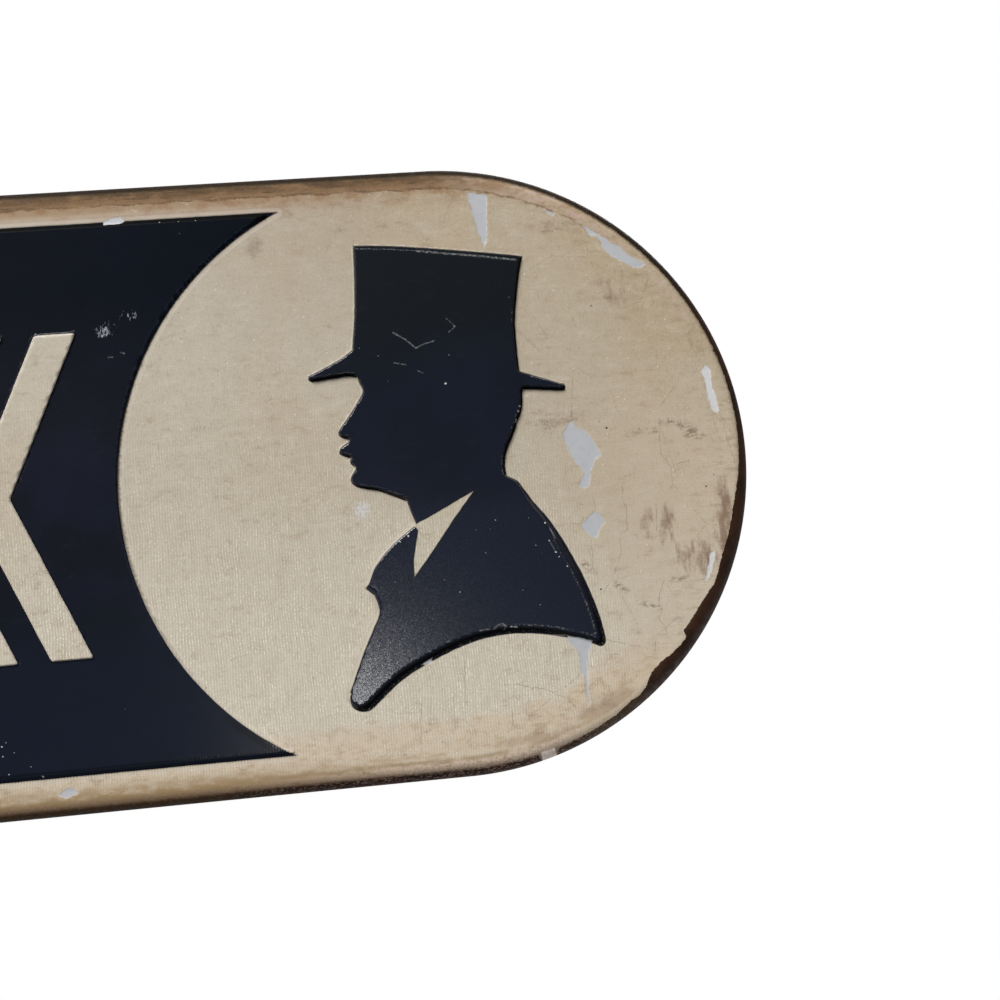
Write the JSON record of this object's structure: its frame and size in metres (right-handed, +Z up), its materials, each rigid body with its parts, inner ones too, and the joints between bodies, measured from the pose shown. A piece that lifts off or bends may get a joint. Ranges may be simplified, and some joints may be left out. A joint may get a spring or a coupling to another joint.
{
  "type": "tin restroom sign",
  "caption": "Pressed tin wall sign with round ends, an embossed dark panel with an arrow, a top-hatted portrait on a cream disc, and hanging rings that swing on braces behind it.",
  "frame": {"origin": "centre of the back flange, on the wall plane", "axes": "+X along the sign to the viewer's right, +Z up, +Y into the wall; the face looks along -Y"},
  "size_m": [0.406, 0.0108, 0.14],
  "materials": {
    "cream_enamel": "satin printed enamel with a fine linen grain, stained and cracked with age",
    "navy_enamel": "satin near-black navy enamel, rubbed along its raised edges",
    "brown_lacquer": "dark brown worn edge, satin",
    "zinc_steel": "zinc-plated strip, dull",
    "nickel_wire": "nickel-plated wire, polished",
    "rivet_aluminium": "mill finish"
  },
  "bodies": {
    "sign": {"face_plate": "cream_enamel", "panel_coat": "navy_enamel", "portrait_coat": "navy_enamel", "rim_coat": "brown_lacquer", "brace_left": "zinc_steel", "brace_right": "zinc_steel", "strap_left": "zinc_steel", "strap_right": "zinc_steel", "strap_rivets": "rivet_aluminium"},
    "left_ring": {"ring_left": "nickel_wire"},
    "right_ring": {"ring_right": "nickel_wire"}
  },
  "joints": [
    {"name": "left_ring_swing", "type": "hinge", "parent": "sign", "child": "left_ring", "pos_m": [-0.1016, -0.00266, 0.02], "axis": [1, 0, 0], "range_deg": [0, 170]},
    {"name": "right_ring_swing", "type": "hinge", "parent": "sign", "child": "right_ring", "pos_m": [0.1016, -0.00266, 0.02], "axis": [1, 0, 0], "range_deg": [0, 170]}
  ]
}
